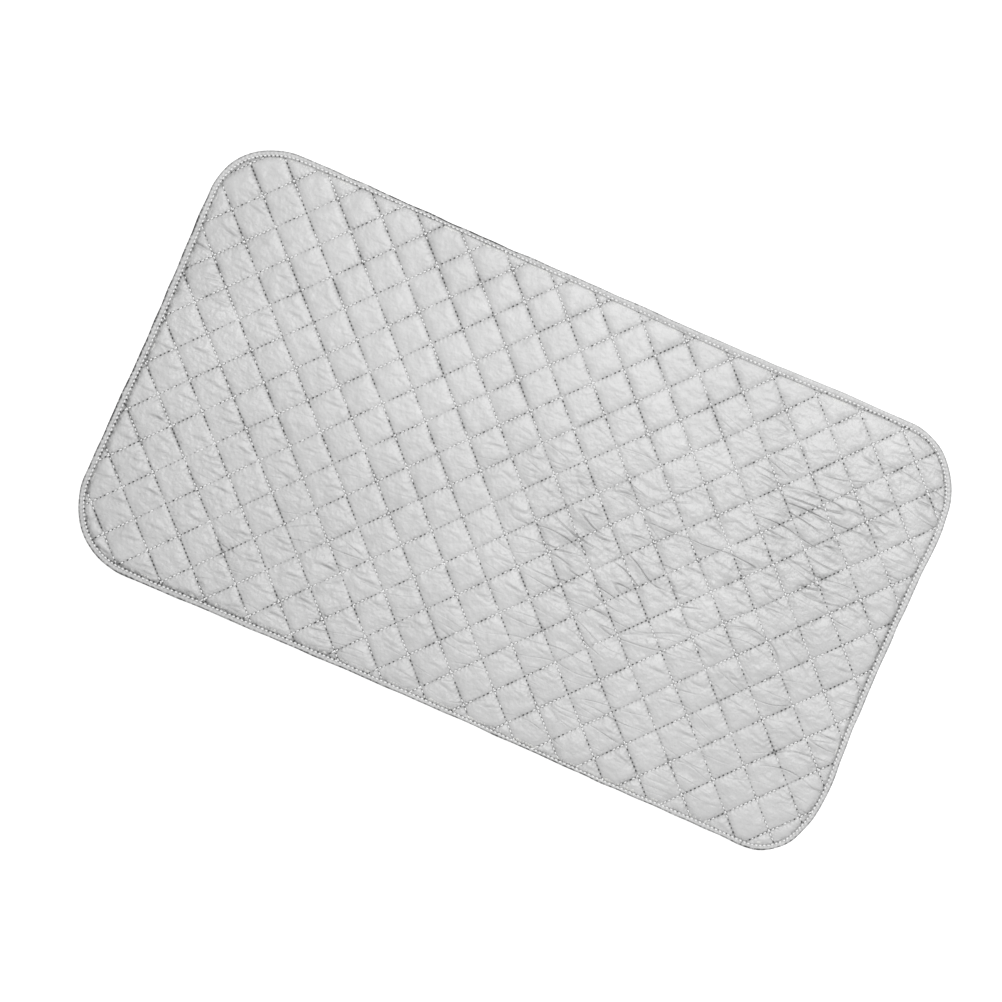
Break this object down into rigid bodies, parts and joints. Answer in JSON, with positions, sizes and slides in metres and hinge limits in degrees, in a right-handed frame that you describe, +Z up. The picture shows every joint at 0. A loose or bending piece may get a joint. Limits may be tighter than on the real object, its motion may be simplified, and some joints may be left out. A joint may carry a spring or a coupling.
{
  "type": "ironing pad",
  "caption": "Quilted tabletop ironing pad: a silvered face, wadding and backing stitched in diamonds and bound at the edge, folding in half along its length.",
  "frame": {"origin": "centre of the pad's footprint, on the surface that it lies on", "axes": "+X along the length, +Y across the width to the rear, +Z up through the layers"},
  "size_m": [0.85, 0.48, 0.0054],
  "materials": {
    "silvered_cotton": "plain-woven cotton with a silvery heat-reflecting coat, soft satin sheen",
    "wadding": "white needled polyester wadding, matte",
    "backing_cotton": "unbleached plain cotton, matte",
    "binding_cotton": "bias-cut strip of the silvered cotton, soft satin sheen",
    "thread": "pale grey twisted sewing thread"
  },
  "bodies": {
    "rear_half": {"face_cloth_rear": "silvered_cotton", "wadding_rear": "wadding", "backing_rear": "backing_cotton", "binding_rear": "binding_cotton"},
    "front_half": {"face_cloth_front": "silvered_cotton", "wadding_front": "wadding", "backing_front": "backing_cotton", "binding_front": "binding_cotton"}
  },
  "joints": [
    {"name": "fold", "type": "hinge", "parent": "rear_half", "child": "front_half", "pos_m": [0, 0, 0.006], "axis": [-1, 0, 0], "range_deg": [0, 179.5]}
  ]
}
